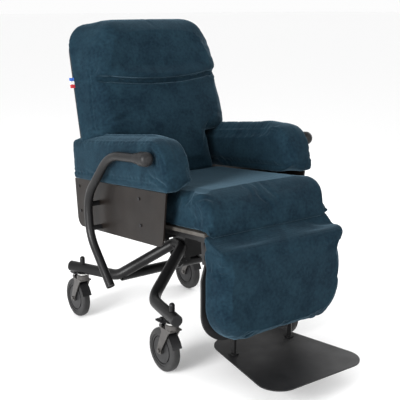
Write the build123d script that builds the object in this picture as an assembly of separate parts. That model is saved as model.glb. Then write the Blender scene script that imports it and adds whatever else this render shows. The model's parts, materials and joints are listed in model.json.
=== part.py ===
from build123d import *
import os
from math import cos, radians, sin

# Reclining patient chair on four castors.  Millimetres, +Z up, -Y to the front, so the
# sitter's right is -X.  Everything is drawn about the middle of the wheelbase, and save()
# moves it back by `mid`, which puts the origin on the floor under the middle of the chair.

mid = 156.0             # middle of the wheelbase behind the middle of the chair

# castors
wheel_radius = 75.0
wheel_width = 30.0
swivel_x = 262.0        # half the track between the swivel axes
swivel_y = 302.0        # half the wheelbase
trail = 46.0            # wheel centre behind its swivel axis
running = 0.05          # radial clearance of every pin and stem that turns

# base
leg_z = 205.0           # centre of the horizontal tube ends
leg_radius = 20.0
tube_wall = 2.5
top_z = 342.0           # centre of the legs where they meet under the seat
pivot_y, pivot_z = -30.0, 400.0

# seat unit, drawn level about the tilt pivot and then tilted back
seat_tilt = 5.2
seat_front = -440.0
seat_rear = 80.0
seat_half = 250.0
board_low, board_top = 66.0, 77.0
seat_top = 188.0
rail_inner, rail_outer = 193.0, 223.0
rail_low = 41.0
upright_y = (-148.0, 265.0)
panel_inner, panel_outer = 287.0, 293.0
hem_z = 193.0           # lower edge of the arm pads
arm_inner, arm_outer = 212.0, 308.0

# grab handles
handle_x = 335.0
handle_radius = 15.0
handle_end = -217.0     # where the knob's sleeve begins
handle_z = 301.0

# back, drawn upright about its hinge and then leaned back
hinge_y, hinge_z = 165.0, 225.0
back_lean = 11.0
back_top = 532.0
wing_z = 124.0          # underside of the wide part, just above the arm pads
wing_half = 298.0
waist_half = 203.0
shell_front, shell_rear = 22.0, 50.0
pillow_z = 318.0
grip_half = 115.0       # straight grip of the push bar, to one side of its middle

# legrest, hanging plumb from its hinge
knee_y, knee_z = -452.0, 492.0
pad_rear, pad_front = -12.0, -104.0
pad_top, pad_bottom = -14.0, -352.0
pad_half = 280.0

# footplate
plate_z = 85.0
plate_thick = 4.0
plate_front, plate_rear = -735.0, -322.0
plate_front_half, plate_rear_half = 212.0, 132.0
stem_x = 120.0
stem_radius = 7.5
stem_y = 6.0            # behind the legrest hinge

seat_place = Pos(0, pivot_y, pivot_z) * Rot(-seat_tilt, 0, 0)
back_place = seat_place * Pos(0, hinge_y, hinge_z) * Rot(-back_lean, 0, 0)
knee_place = Pos(0, knee_y, knee_z)


def save(node, *solids):
    """Write the solids of one node, moved so that the origin is under the chair's middle."""
    pieces = []
    for item in solids:
        pieces.extend(item.solids())
    moved = [Pos(0, mid, 0) * piece for piece in pieces]
    export_step(Compound(children=moved) if len(moved) > 1 else moved[0], f"parts/{node}.step")


def block(x0, x1, y0, y1, z0, z1):
    """Box between two corners; the x limits may be given in either order."""
    return Pos((x0 + x1) / 2, (y0 + y1) / 2, (z0 + z1) / 2) * Box(abs(x1 - x0), y1 - y0, z1 - z0)


def pin(radius, x0, x1, y=0.0, z=0.0):
    """Cylinder along X."""
    return Pos((x0 + x1) / 2, y, z) * Rot(0, 90, 0) * Cylinder(radius, abs(x1 - x0))


def post(radius, x, y, z0, z1):
    """Cylinder along Z."""
    return Pos(x, y, (z0 + z1) / 2) * Cylinder(radius, z1 - z0)


def cheek(points, x0, x1, corner=0.0):
    """Plate of a side-view outline (y, z), standing between two x positions."""
    low, high = min(x0, x1), max(x0, x1)
    plate = extrude(Plane.YZ.offset(low) * make_face(Polyline(*points, close=True)), high - low)
    return fillet(plate.edges().filter_by(Axis.X), corner) if corner else plate


def panel(points, y0, y1, corner=0.0):
    """Plate of a front-view outline (x, z), between two y positions."""
    plate = extrude(Plane.XZ.offset(-y1) * make_face(Polyline(*points, close=True)), y1 - y0)
    return fillet(plate.edges().filter_by(Axis.Y), corner) if corner else plate


def mirrored(shape):
    """The shape's twin on the sitter's left."""
    return mirror(shape, about=Plane.YZ)


def tube(path, radius, wall):
    """Round tube swept along a path."""
    start = Plane(origin=path @ 0, z_dir=path % 0)
    return sweep(start * Circle(radius), path=path) - sweep(start * Circle(radius - wall), path=path)


# ---------------------------------------------------------------- base

def leg_path():
    """Centre line of the right-hand leg: rear end, rear bend, top, front bend, front end."""
    points = [(-283, 352, leg_z), (-197, 148, leg_z), (-45, -5, top_z),
              (-50, -57, top_z), (-229, -135, leg_z), (-272, -342, leg_z)]
    return FilletPolyline(*points, radius=[70, 26, 26, 70])


def leg(path):
    """Right-hand leg: one bent tube with a hole for each castor bolt."""
    body = tube(path, leg_radius, tube_wall)
    for y in (-swivel_y, swivel_y):
        body -= post(6, -swivel_x, y, leg_z - 30, leg_z + 30)
    return body


def end_caps(path):
    """Domed plastic plugs in both ends of the right-hand leg."""
    caps = []
    for place, outward in ((0, -1), (1, 1)):
        direction = (path % place) * outward
        seat = Plane(origin=path @ place, z_dir=direction)
        cap = extrude(seat * Circle(leg_radius), 4)
        cap = fillet(cap.faces().sort_by(Axis(path @ place, direction))[-1].edges(), 3)
        caps.append(cap + extrude(seat * Circle(leg_radius - tube_wall), -14))
    return caps


def column(solid_legs):
    """Box over the crossing of the legs, with the tilt bearing on top and the spring lug behind."""
    box = block(-44, 44, -68, 8, 300, 386) - block(-38, 38, -62, 2, 296, 380)
    box -= block(-60, 60, -56, -4, 290, 352)
    bearing = pin(18, -58, 58, pivot_y, pivot_z)
    lug = cheek([(0, 300), (62, 262), (62, 238), (40, 226), (0, 262)], 8, 14, 5)
    lug -= pin(6, 0, 20, spring_base[0], spring_base[1])
    gusset = block(-30, 30, 2, 8, 250, 312)
    body = box + bearing + gusset + lug + mirrored(lug) + pin(6, -14, 14, *spring_base)
    body -= pin(10 + running, -80, 80, pivot_y, pivot_z)
    return body - solid_legs


def bolt(x, y):
    """Castor bolt through a leg, with a tall domed head above it."""
    shaft = post(6, x, y, 160, leg_z + leg_radius)
    head = post(9.5, x, y, leg_z + leg_radius - 3.0, 252)
    head = fillet(head.edges().filter_by(GeomType.CIRCLE).sort_by(Axis.Z)[-1], 9)
    return shaft + head


# ---------------------------------------------------------------- castors

def fork(x, y):
    """Pressed fork: bearing head, crown, two raked legs, and the axle bolt as a second solid."""
    head = post(23, x, y, 163, 180.7)
    head = chamfer(head.edges().filter_by(GeomType.CIRCLE).sort_by(Axis.Z)[-1], 3)
    crown = block(x - 23, x + 23, y - 22, y + 40, 158, 163)
    rake = [(y - 20, 163), (y + 38, 163), (y + 30, 148), (y + trail + 13, 78), (y + trail + 9, 64),
            (y + trail - 9, 64), (y + trail - 14, 82), (y - 8, 148)]
    body = head + crown
    for side in (-1, 1):
        body += cheek(rake, x + side * 19, x + side * 23, 3)
        ear = cheek([(y + 30, 163), (y + 42, 163), (y + 42, 172), (y + 30, 172)], x + side * 19, x + side * 23)
        body += ear - pin(3 + running, x - 30, x + 30, y + 37, 167.5)
    body -= post(6 + running, x, y, 150, 190)
    body -= pin(4, x - 30, x + 30, y + trail, wheel_radius)
    axle = pin(4, x - 28, x + 28, y + trail, wheel_radius)
    axle += pin(7, x - 28, x - 23, y + trail, wheel_radius) + pin(7, x + 23, x + 28, y + trail, wheel_radius)
    return body, axle


def wheel(x, y):
    """Solid tyre with rounded shoulders, and a moulded centre with a recessed ring."""
    hub_y = y + trail
    tyre = pin(wheel_radius, x - wheel_width / 2, x + wheel_width / 2, hub_y, wheel_radius)
    tyre = fillet(tyre.edges().filter_by(GeomType.CIRCLE), 9)
    tyre -= pin(56, x - 20, x + 20, hub_y, wheel_radius)
    core = pin(56, x - 13, x + 13, hub_y, wheel_radius) + pin(14, x - 17, x + 17, hub_y, wheel_radius)
    for side in (-1, 1):
        ring = pin(49, x + side * 9, x + side * 20, hub_y, wheel_radius)
        core -= ring - pin(44, x + side * 8, x + side * 21, hub_y, wheel_radius)
    return tyre, core - pin(4 + running, x - 30, x + 30, hub_y, wheel_radius)


def brake_pedal(x, y):
    """Total-lock pedal over the wheel: hinge pin, tread plate and upright post."""
    plate = block(x - 15, x + 15, y + 34, y + 80, 170, 174)
    plate = fillet(plate.edges().filter_by(Axis.Z), 5)
    return plate + pin(3, x - 23, x + 23, y + 37, 167.5) + block(x - 15, x + 15, y + 34, y + 40, 165, 171) \
        + post(6, x, y + 62, 173, 182)


def castors():
    """The four castors, each a fork, a wheel and a pedal of its own."""
    for name, x, y in (("front_right", -swivel_x, -swivel_y), ("front_left", swivel_x, -swivel_y),
                       ("rear_right", -swivel_x, swivel_y), ("rear_left", swivel_x, swivel_y)):
        save(f"caster_fork_{name}", *fork(x, y))
        tyre, core = wheel(x, y)
        save(f"tyre_{name}", tyre)
        save(f"wheel_core_{name}", core)
        save(f"brake_pedal_{name}", brake_pedal(x, y))


# ---------------------------------------------------------------- gas springs

def on_seat(y, z, tilt=0.0):
    """Where a point of the seat unit is in the chair's side view, tilted back further by `tilt`."""
    angle = radians(seat_tilt + tilt)
    return pivot_y + y * cos(angle) + z * sin(angle), pivot_z - y * sin(angle) + z * cos(angle)


def on_back(y, z, recline=0.0):
    """Where a point of the back is in the seat unit's side view, reclined further by `recline`."""
    angle = radians(back_lean + recline)
    return hinge_y + y * cos(angle) + z * sin(angle), hinge_z - y * sin(angle) + z * cos(angle)


def gas_spring(start, end, tube_length, stroke, eye):
    """Cylinder and rod of a gas spring between two pins (y, z), each with an eye at its end.

    The rod starts a stroke above the bottom of the cylinder.  Its eye is wider than the pin,
    because the pivot at the rod's end is the one left open."""
    a, b = Vector(0, *start), Vector(0, *end)
    along = (b - a).normalized()
    place = Plane(origin=a, x_dir=(1, 0, 0), z_dir=along)
    length = (b - a).length
    cylinder = place * (Pos(0, 0, 22 + tube_length / 2) * Cylinder(11, tube_length))
    cylinder += place * (Pos(0, 0, 15) * Cylinder(5, 16)) + pin(10, -6, 6, *start)
    cylinder -= pin(6 + running, -10, 10, *start)
    cylinder -= place * (Pos(0, 0, tube_length / 2 + 27) * Cylinder(4 + running, tube_length))
    foot, tip = stroke + 30, length - eye - 2
    rod = place * (Pos(0, 0, (foot + tip) / 2) * Cylinder(4, tip - foot))
    rod += pin(eye + 5, -6, 6, *end)
    return cylinder, rod - pin(eye, -10, 10, *end)


spring_base = (48.0, 250.0)                 # lower pin of the tilt spring, on the column
spring_seat = (215.0, 4.0)                  # its upper pin, on the seat unit
spring_back_low = (302.0, 22.0)             # lower pin of the recline spring, on the seat unit
spring_back_high = (74.0, 190.0)            # its upper pin, on the back


# ---------------------------------------------------------------- seat unit

def seat_rails():
    """Two rectangular rails under the seat board."""
    rail = block(rail_inner, rail_outer, -430, 280, rail_low, board_low)
    rail -= block(rail_inner + 2, rail_outer - 2, -431, 281, rail_low + 2, board_low - 2)
    return rail, mirrored(rail)


def cross_tubes():
    """Front and rear cross tubes under the rails; the rear one carries both spring lugs."""
    tubes = []
    for y in upright_y:
        bar = block(-262, 262, y - 15, y + 15, rail_low - 25, rail_low)
        tubes.append(bar - block(-263, 263, y - 13, y + 13, rail_low - 23, rail_low - 2))
    front_lug = cheek([(251, 32), (251, 18), (225, -8), (203, -8), (203, 14)], 8, 13)
    rear_lug = cheek([(279, 18), (279, 38), (312, 32), (312, 12)], 8, 13)
    for lug in (front_lug, rear_lug):
        tubes[1] = tubes[1] + lug + mirrored(lug)
    tubes[1] = tubes[1] + pin(6, -13, 13, *spring_seat) + pin(6, -13, 13, *spring_back_low)
    return tubes


def tilt_bridge():
    """Plate across the rails with two lugs down to the tilt pin."""
    plate = block(-rail_outer, rail_outer, -60, 60, 35, rail_low)
    lug = cheek([(-34, 35), (34, 35), (17, -18), (-17, -18)], 60, 68, 6)
    return plate + lug + mirrored(lug) - pin(10, -90, 90)


def arm_uprights():
    """Four flat posts from the cross tubes up to the arm pads, behind the side panels."""
    posts = []
    for y in upright_y:
        for side in (-1, 1):
            posts.append(block(side * 262, side * panel_inner, y - 18, y + 15, 16, hem_z))
    return posts


def side_panel():
    """Left-hand side panel, wider at the top, with rounded lower corners."""
    corners = [(-308, hem_z), (-271, 16), (290, 16), (290, hem_z)]
    plate = cheek(corners, panel_inner, panel_outer)
    low = [edge for edge in plate.edges().filter_by(Axis.X) if edge.center().Z < 60]
    plate = fillet(low, 34)
    for y, z in panel_screw_places:
        plate -= pin(2.5, panel_inner - 1, panel_outer + 1, y, z)
    return plate


panel_screw_places = [(-148, 160), (-148, 72), (262, 165), (262, 74)]


def panel_screws():
    """Domed screws that hold the side panels to the uprights."""
    screws = []
    for side in (-1, 1):
        for y, z in panel_screw_places:
            head = pin(5.5, side * panel_outer, side * (panel_outer + 3), y, z)
            screws.append(head + pin(2.5, side * panel_inner, side * panel_outer, y, z))
    return screws


def arm_pad():
    """Left-hand arm pad as a plain soft solid that rises slightly to the front."""
    outline = [(-340, hem_z + 1), (246, hem_z + 1), (212, 336), (-318, 358)]
    pad = cheek(outline, arm_inner, arm_outer)
    edges = pad.edges().filter_by(Axis.X)
    pad = fillet([edge for edge in edges if edge.center().Z > 300], 24)
    top = pad.faces().sort_by(Axis.Z)[-1]
    return fillet([edge for edge in top.edges() if abs(edge.tangent_at(0.5).X) < 0.5], 18)


def handle_path():
    """Centre line of the right-hand grab handle, in the seat unit's frame."""
    points = [(handle_end, handle_z), (-50, handle_z), (126, 147), (126, 6), (6, -155)]
    return FilletPolyline(*[(-handle_x, y, z) for y, z in points], radius=[170, 140, 150])


def handle_knob():
    """Sleeve and mushroom knob on the front end of the right-hand handle."""
    place = Plane(origin=(-handle_x, handle_end, handle_z), x_dir=(1, 0, 0), z_dir=(0, -1, 0))
    knob = Pos(0, 0, 50) * Cylinder(23, 48)
    rims = knob.edges().filter_by(GeomType.CIRCLE).sort_by(Axis.Z)
    knob = fillet(rims[-1], 17)
    knob = chamfer(knob.edges().filter_by(GeomType.CIRCLE).sort_by(Axis.Z)[0], 4)
    return place * (knob + Pos(0, 0, 14) * Cylinder(17.5, 28))


def handle_plug(path):
    """Plastic plug set a little inside the handle's lower end."""
    end = Plane(origin=path @ 1, z_dir=path % 1)
    return extrude(end.offset(-3) * Circle(handle_radius - tube_wall), -14)


def standoffs(path):
    """Two spacers from the right-hand panel to the handle, with their screws."""
    outer = sweep(Plane(origin=path @ 0, z_dir=path % 0) * Circle(handle_radius), path=path)
    spacers = []
    for y, z in ((126, 118), (118, 34)):
        spacer = pin(9, -panel_outer, -handle_x, y, z) - outer
        spacers.append(spacer)
    return spacers


def legrest_brackets():
    """Plates on the rails with the legrest's hinge stud and a drop bar for its stop."""
    y, z = knee_in_seat
    plate = cheek([(y - 11, z - 11), (-372, rail_low), (-372, board_low), (y - 11, board_low)], 223, 228)
    bar = block(223, 228, -402, -388, -30, board_low)
    bracket = plate + bar + pin(7, 223, 241, y, z)
    return bracket, mirrored(bracket)


def back_lugs():
    """Plates on the rails that carry the back's hinge."""
    lug = cheek([(128, rail_low), (202, rail_low), (182, hinge_z - 8), (148, hinge_z - 8)], 187, 193)
    lug += pin(17, 187, 193, hinge_y, hinge_z)
    lug -= pin(8, 180, 200, hinge_y, hinge_z)
    return lug, mirrored(lug)


def back_pins():
    """Hinge pins pressed into the lugs."""
    hinge = pin(8, 177.5, 193, hinge_y, hinge_z) + pin(12, 193, 197, hinge_y, hinge_z)
    return hinge, mirrored(hinge)


# ---------------------------------------------------------------- back

def back_frame():
    """Welded ladder inside the shell, with hinge plates at its foot."""
    frame = block(-158, 158, 24, 44, 60, 80) + block(-158, 158, 24, 44, 440, 460)
    for side in (-1, 1):
        frame += block(side * 156, side * 176, 24, 44, -12, 470)
        plate = cheek([(-14, -12), (44, -12), (44, 46), (24, 46), (-14, 14)], side * 178, side * 184, 5)
        frame += plate + block(side * 175, side * 179, 26, 44, -8, 44)
    return frame - pin(8 + running, -190, 190)


def shell_outline(half, waist, foot, top, shoulder):
    """Front-view outline of the back: narrow between the arms, wide above them."""
    return [(-waist, foot), (waist, foot), (waist, wing_z + shoulder), (half, wing_z + shoulder),
            (half - 14, top), (-half + 14, top), (-half, wing_z + shoulder), (-waist, wing_z + shoulder)]


def back_shell():
    """Moulded tray that closes the back from behind."""
    outer = panel(shell_outline(285, 190, 50, 510, 4), shell_front, shell_rear)
    inner = panel(shell_outline(280, 185, 55, 505, 9), shell_front - 1, shell_rear - 5)
    top = [edge for edge in outer.edges().filter_by(Axis.Y) if edge.center().Z > 500]
    top_inner = [edge for edge in inner.edges().filter_by(Axis.Y) if edge.center().Z > 500]
    tray = fillet(top, 80) - fillet(top_inner, 75)
    for side in (-1, 1):
        tray -= block(side * 155, side * 185, shell_front - 1, 44.5, 40, 60)
    return tray


def back_cushion():
    """Back cushion below the head pillow as a plain soft solid, notched for the hinges."""
    outline = [(-waist_half, -38), (waist_half, -38), (waist_half, wing_z), (wing_half, wing_z),
               (wing_half, pillow_z), (-wing_half, pillow_z), (-wing_half, wing_z), (-waist_half, wing_z)]
    cushion = panel(outline, -92, 21)
    cushion = fillet(cushion.edges().filter_by(Axis.Y).group_by(Axis.Z)[0], 20)
    for side in (-1, 1):
        cushion -= block(side * 150, side * 210, -26, 30, -60, 52)
    return cushion


def head_pillow():
    """Head pillow as a plain soft solid over the top of the back."""
    z0 = pillow_z + 1
    outline = [(-wing_half, z0), (wing_half, z0), (wing_half - 12, back_top), (-wing_half + 12, back_top)]
    pillow = panel(outline, -118, 21)
    pillow = fillet([edge for edge in pillow.edges().filter_by(Axis.Y) if edge.center().Z > 500], 70)
    front = pillow.faces().sort_by(Axis.Y)[0]
    return fillet([edge for edge in front.edges() if edge.center().Z > back_top - 80], 46)


def push_bar():
    """Push bar behind the shell: two arms out, and a grip across."""
    points = [(-150, shell_rear + 3, 400), (-150, 128, 412), (150, 128, 412), (150, shell_rear + 3, 400)]
    bar = tube(FilletPolyline(*points, radius=30), 12.5, 2)
    # the straight grip between the bends is one true round tube
    bar -= block(-grip_half, grip_half, 110, 146, 394, 430)
    bar += pin(12.5, -grip_half, grip_half, 128, 412) - pin(10.5, -grip_half, grip_half, 128, 412)
    for side in (-1, 1):
        bar += block(side * 128, side * 172, shell_rear, shell_rear + 4, 376, 424)
    return bar - block(-160, 160, shell_rear - 20, shell_rear, 360, 440)


def release_lever(x):
    """Finger lever under the push bar, with its clevis bracket as a second solid."""
    bracket = block(x - 12, x + 12, shell_rear, shell_rear + 4, 366, 396)
    for side in (-1, 1):
        ear = cheek([(shell_rear + 3, 370), (74, 370), (74, 386), (shell_rear + 3, 386)], x + side * 8, x + side * 12)
        bracket += ear
    bracket -= pin(3 + running, x - 20, x + 20, 67, 378)
    lever = block(x - 7.6, x + 7.6, 62, 118, 374, 380)
    lever = fillet(lever.edges().filter_by(Axis.Z), 4)
    return bracket, lever + pin(3, x - 12, x + 12, 67, 378)


def spring_bracket():
    """Bracket on the back of the shell for the recline spring."""
    y, z = spring_back_high
    bracket = block(-16, 16, shell_rear, shell_rear + 3, z - 24, z + 24)
    for side in (-1, 1):
        bracket += cheek([(shell_rear + 2, z - 10), (y + 8, z - 10), (y + 8, z + 10), (shell_rear + 2, z + 10)],
                         side * 8, side * 13)
    return bracket + pin(6, -13, 13, y, z)


# ---------------------------------------------------------------- legrest and footplate

def legrest_frame():
    """Ladder behind the calf pad: hinge plates, cross bars and two sockets for the stems."""
    frame = block(-234, 234, -4, 16, -52, -32) + block(-118, 118, -4, 16, -262, -242)
    for side in (-1, 1):
        frame += block(side * (stem_x - 11), side * (stem_x + 11), -4, 17, -340, -50)
        hinge = cheek([(-3.5, -45), (16, -45), (10, 4), (-9, 4), (-3.5, -26)], side * 229, side * 234)
        frame += hinge + pin(11, side * 229, side * 234)
        frame -= post(stem_radius + 0.1, side * stem_x, stem_y, -400, -120)
    return frame - pin(7 + running, -250, 250)


def calf_plate(half, top, bottom, corner, y0, y1):
    """Solid of the calf pad's front-view outline: narrower at the top, round at the foot."""
    shoulder = top - 90
    points = [(-half + 26, top), (half - 26, top), (half, shoulder),
              (half, bottom), (-half, bottom), (-half, shoulder)]
    plate = panel(points, y0, y1)
    return fillet([edge for edge in plate.edges().filter_by(Axis.Y) if edge.center().Z < bottom + 5], corner)


def footplate():
    """Flat steel plate, narrower at the heel, with generous corners."""
    points = [(-plate_front_half, plate_front), (plate_front_half, plate_front),
              (plate_rear_half, plate_rear), (-plate_rear_half, plate_rear)]
    plate = extrude(make_face(Polyline(*points, close=True)), plate_thick)
    plate = fillet(plate.edges().filter_by(Axis.Z).group_by(Axis.Y)[0], 70)
    plate = fillet(plate.edges().filter_by(Axis.Z).group_by(Axis.Y)[-1], 78)
    return Pos(0, 0, plate_z) * plate


def stems():
    """Two rods that slide in the legrest's sockets, on small feet screwed to the plate."""
    rods = []
    for side in (-1, 1):
        x, y = side * stem_x, knee_y + stem_y
        foot_top = plate_z + plate_thick
        rods.append(post(stem_radius, x, y, foot_top, knee_z - 180) + post(16, x, y, foot_top, foot_top + 5))
    return rods


# ---------------------------------------------------------------- everything

# The legrest's hinge, expressed in the seat unit's own frame.
knee_dy, knee_dz = knee_y - pivot_y, knee_z - pivot_z
knee_in_seat = (knee_dy * cos(radians(seat_tilt)) - knee_dz * sin(radians(seat_tilt)),
                knee_dy * sin(radians(seat_tilt)) + knee_dz * cos(radians(seat_tilt)))


def main():
    os.makedirs("parts", exist_ok=True)
    path = leg_path()
    right_leg = leg(path)
    solid_leg = sweep(Plane(origin=path @ 0, z_dir=path % 0) * Circle(leg_radius), path=path)
    save("side_tube_right", right_leg)
    save("side_tube_left", mirrored(right_leg))
    caps = end_caps(path)
    save("tube_end_caps", *caps, *[mirrored(cap) for cap in caps])
    both_legs = solid_leg + mirrored(solid_leg)
    save("pivot_column", column(both_legs))
    cross = pin(leg_radius - 1, -190, 190, 136, leg_z) - pin(leg_radius - 3.5, -190, 190, 136, leg_z) - both_legs
    save("rear_cross_tube", max(cross.solids(), key=lambda piece: piece.volume))
    places = [(x, y) for x in (-swivel_x, swivel_x) for y in (-swivel_y, swivel_y)]
    save("caster_bolts", *[bolt(x, y) - (right_leg if x < 0 else mirrored(right_leg)) for x, y in places])
    washers = [post(20, x, y, 181, 185.5) - post(6, x, y, 170, 190) - both_legs for x, y in places]
    save("stem_washers", *[max(washer.solids(), key=lambda piece: piece.volume) for washer in washers])
    castors()

    save("seat_rails", *[seat_place * item for item in seat_rails()])
    save("seat_cross_tubes", *[seat_place * item for item in cross_tubes()])
    save("tilt_bridge", seat_place * tilt_bridge())
    save("tilt_pin", seat_place * (pin(10, -68, 68) + pin(14, 68, 72) + pin(14, -68, -72)))
    save("seat_board", seat_place * block(-seat_half, seat_half, seat_front + 2, seat_rear, board_low, board_top))
    cushion = block(-seat_half, seat_half, seat_front, seat_rear, board_top, seat_top)
    save("seat_cushion", seat_place * fillet(cushion.edges().filter_by(Axis.X).group_by(Axis.Z)[-1], 26))
    save("arm_uprights", *[seat_place * item for item in arm_uprights()])
    left_panel, left_pad = side_panel(), arm_pad()
    save("side_panel_left", seat_place * left_panel)
    save("side_panel_right", seat_place * mirrored(left_panel))
    save("panel_screws", *[seat_place * item for item in panel_screws()])
    save("arm_pad_left", seat_place * left_pad)
    save("arm_pad_right", seat_place * mirrored(left_pad))
    grip = handle_path()
    right_handle = tube(grip, handle_radius, tube_wall)
    save("grab_handle_right", seat_place * right_handle)
    save("grab_handle_left", seat_place * mirrored(right_handle))
    for node, shapes in (("handle_knobs", [handle_knob()]), ("handle_plugs", [handle_plug(grip)]),
                         ("handle_standoffs", standoffs(grip))):
        save(node, *[seat_place * item for item in shapes], *[seat_place * mirrored(item) for item in shapes])
    save("legrest_brackets", *[seat_place * item for item in legrest_brackets()])
    save("back_hinge_lugs", *[seat_place * item for item in back_lugs()])
    save("back_hinge_pins", *[seat_place * item for item in back_pins()])

    save("back_frame", back_place * back_frame())
    save("back_shell", back_place * back_shell())
    save("back_cushion", back_place * back_cushion())
    save("head_pillow", back_place * head_pillow())
    save("push_bar", back_place * push_bar())
    brackets = [back_place * spring_bracket()]
    for name, x in (("tilt", -70), ("recline", 70)):
        bracket, lever = release_lever(x)
        brackets.append(back_place * bracket)
        save(f"{name}_lever", back_place * lever)
    save("shell_brackets", *brackets)

    save("legrest_frame", knee_place * legrest_frame())
    save("legrest_board", knee_place * calf_plate(262, -32, pad_bottom + 16, 104, pad_rear, pad_rear + 8))
    save("legrest_pad", knee_place * calf_plate(pad_half, pad_top, pad_bottom, 120, pad_front, pad_rear))
    save("footplate", footplate())
    save("footplate_stems", *stems())

    tilt_spring = gas_spring(spring_base, on_seat(*spring_seat), 90, 60, 8.5)
    save("tilt_spring_cylinder", tilt_spring[0])
    save("tilt_spring_rod", tilt_spring[1])
    back_spring = gas_spring(spring_back_low, on_back(*spring_back_high), 210, 86, 11)
    save("recline_spring_cylinder", seat_place * back_spring[0])
    save("recline_spring_rod", seat_place * back_spring[1])


main()
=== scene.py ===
import bpy
import json
import math
import numpy as np
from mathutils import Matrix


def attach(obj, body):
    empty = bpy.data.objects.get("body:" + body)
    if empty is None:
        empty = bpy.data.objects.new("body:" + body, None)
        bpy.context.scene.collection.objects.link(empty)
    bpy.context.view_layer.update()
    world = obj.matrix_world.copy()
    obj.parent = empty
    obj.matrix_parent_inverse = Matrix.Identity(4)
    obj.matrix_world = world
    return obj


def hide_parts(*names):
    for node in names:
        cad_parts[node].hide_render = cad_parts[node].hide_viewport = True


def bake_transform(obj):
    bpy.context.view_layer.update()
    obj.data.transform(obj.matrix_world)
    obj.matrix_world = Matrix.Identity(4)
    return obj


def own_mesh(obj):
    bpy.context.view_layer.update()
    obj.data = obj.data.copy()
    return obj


# Reclining patient chair: velvet upholstery, powder-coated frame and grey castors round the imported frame.

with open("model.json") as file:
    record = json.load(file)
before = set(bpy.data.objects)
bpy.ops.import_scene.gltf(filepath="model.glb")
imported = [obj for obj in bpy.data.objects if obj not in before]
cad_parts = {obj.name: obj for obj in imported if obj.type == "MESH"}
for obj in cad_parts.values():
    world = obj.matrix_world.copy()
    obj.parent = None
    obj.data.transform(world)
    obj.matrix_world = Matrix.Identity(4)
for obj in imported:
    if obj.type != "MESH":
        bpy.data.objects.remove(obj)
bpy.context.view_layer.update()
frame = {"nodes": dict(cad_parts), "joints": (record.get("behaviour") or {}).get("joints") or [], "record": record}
joints = {joint["name"]: joint for joint in frame["joints"]}
print("frame loaded with", len(frame["nodes"]), "nodes")

# Where the three upholstered units are drawn: their hinge, and how far they lean back, in degrees.
seatUnit = {"hinge": joints["seat_tilt"]["pos_m"], "lean": 5.2}
backUnit = {"hinge": joints["back_recline"]["pos_m"], "lean": 16.2}
legUnit = {"hinge": joints["legrest_lift"]["pos_m"], "lean": 0.0}


# ---- shaping tools

def toWorld(points, unit):
    # turned back about the X axis by the lean, then moved to the hinge
    points = np.asarray(points, float)
    lean = math.radians(unit["lean"])
    x, y, z = np.moveaxis(points, -1, 0)
    turned = np.stack([x, y * math.cos(lean) + z * math.sin(lean),
                       z * math.cos(lean) - y * math.sin(lean)], -1)
    return turned + np.array(unit["hinge"])


def toUnit(points, unit):
    # the inverse of toWorld
    points = np.asarray(points, float) - np.array(unit["hinge"])
    lean = math.radians(unit["lean"])
    x, y, z = np.moveaxis(points, -1, 0)
    return np.stack([x, y * math.cos(lean) - z * math.sin(lean), z * math.cos(lean) + y * math.sin(lean)], -1)


def smoothStep(low, high, values):
    # 0 below low, 1 above high, and 3t^2 - 2t^3 between
    t = np.clip((values - low) / (high - low), 0, 1)
    return t * t * (3 - 2 * t)


def bump(values, centre, width):
    # a bell: exp(-((value - centre) / width)^2)
    return np.exp(-((values - centre) / width) ** 2)


def roundedOutline(corners, radii, count):
    # each corner of the closed polygon becomes an arc that touches both sides; then evenly spaced points
    corners = np.asarray(corners, float)
    arcs = []
    for before, corner, after, radius in zip(np.roll(corners, 1, 0), corners, np.roll(corners, -1, 0), radii):
        inward = (before - corner) / np.linalg.norm(before - corner)
        onward = (after - corner) / np.linalg.norm(after - corner)
        half = math.acos(np.clip(inward @ onward, -1, 1)) / 2
        middle = corner + (inward + onward) / np.linalg.norm(inward + onward) * radius / math.sin(half)
        start = corner + inward * radius / math.tan(half) - middle
        end = corner + onward * radius / math.tan(half) - middle
        sweep = math.pi - 2 * half
        t = np.linspace(0, 1, 12)[:, None]
        arcs.append(middle + (np.sin((1 - t) * sweep) * start + np.sin(t * sweep) * end) / math.sin(sweep))
    path = np.concatenate(arcs + [arcs[0][:1]])
    reach = np.concatenate([[0], np.cumsum(np.linalg.norm(np.diff(path, axis=0), axis=1))])
    steps = np.linspace(0, reach[-1], count, endpoint=False)
    return np.stack([np.interp(steps, reach, path[:, 0]), np.interp(steps, reach, path[:, 1])], -1)


def smoothPath(points, count):
    # Catmull-Rom curve through a few points
    points = np.asarray(points, float)
    padded = np.concatenate([2 * points[:1] - points[1:2], points, 2 * points[-1:] - points[-2:-1]])
    steps = np.linspace(0, len(points) - 1, count)
    index = np.minimum(steps.astype(int), len(points) - 2)
    t = (steps - index)[:, None]
    a, b, c, d = (padded[index + k] for k in range(4))
    return 0.5 * (2 * b + (c - a) * t + (2 * a - 5 * b + 4 * c - d) * t ** 2
                  + (3 * b - a - 3 * c + d) * t ** 3)


def meshObject(name, points, faces, unit=None):
    mesh = bpy.data.meshes.new(name)
    places = points if unit is None else toWorld(points, unit)
    mesh.from_pydata(places.reshape(-1, 3).tolist(), [], faces)
    mesh.validate()
    obj = bpy.data.objects.new(name, mesh)
    bpy.context.scene.collection.objects.link(obj)
    return obj


def ringFaces(rows, columns, capped=True):
    # quads between neighbouring rings of a closed tube, with a flat cap on both ends
    row, column = np.meshgrid(np.arange(rows - 1), np.arange(columns), indexing="ij")
    onward = (column + 1) % columns
    quads = np.stack([row * columns + column, row * columns + onward,
                      (row + 1) * columns + onward, (row + 1) * columns + column], -1).reshape(-1, 4).tolist()
    if capped:
        quads.append(list(range(columns))[::-1])
        quads.append(list(range((rows - 1) * columns, rows * columns)))
    return quads


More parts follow.
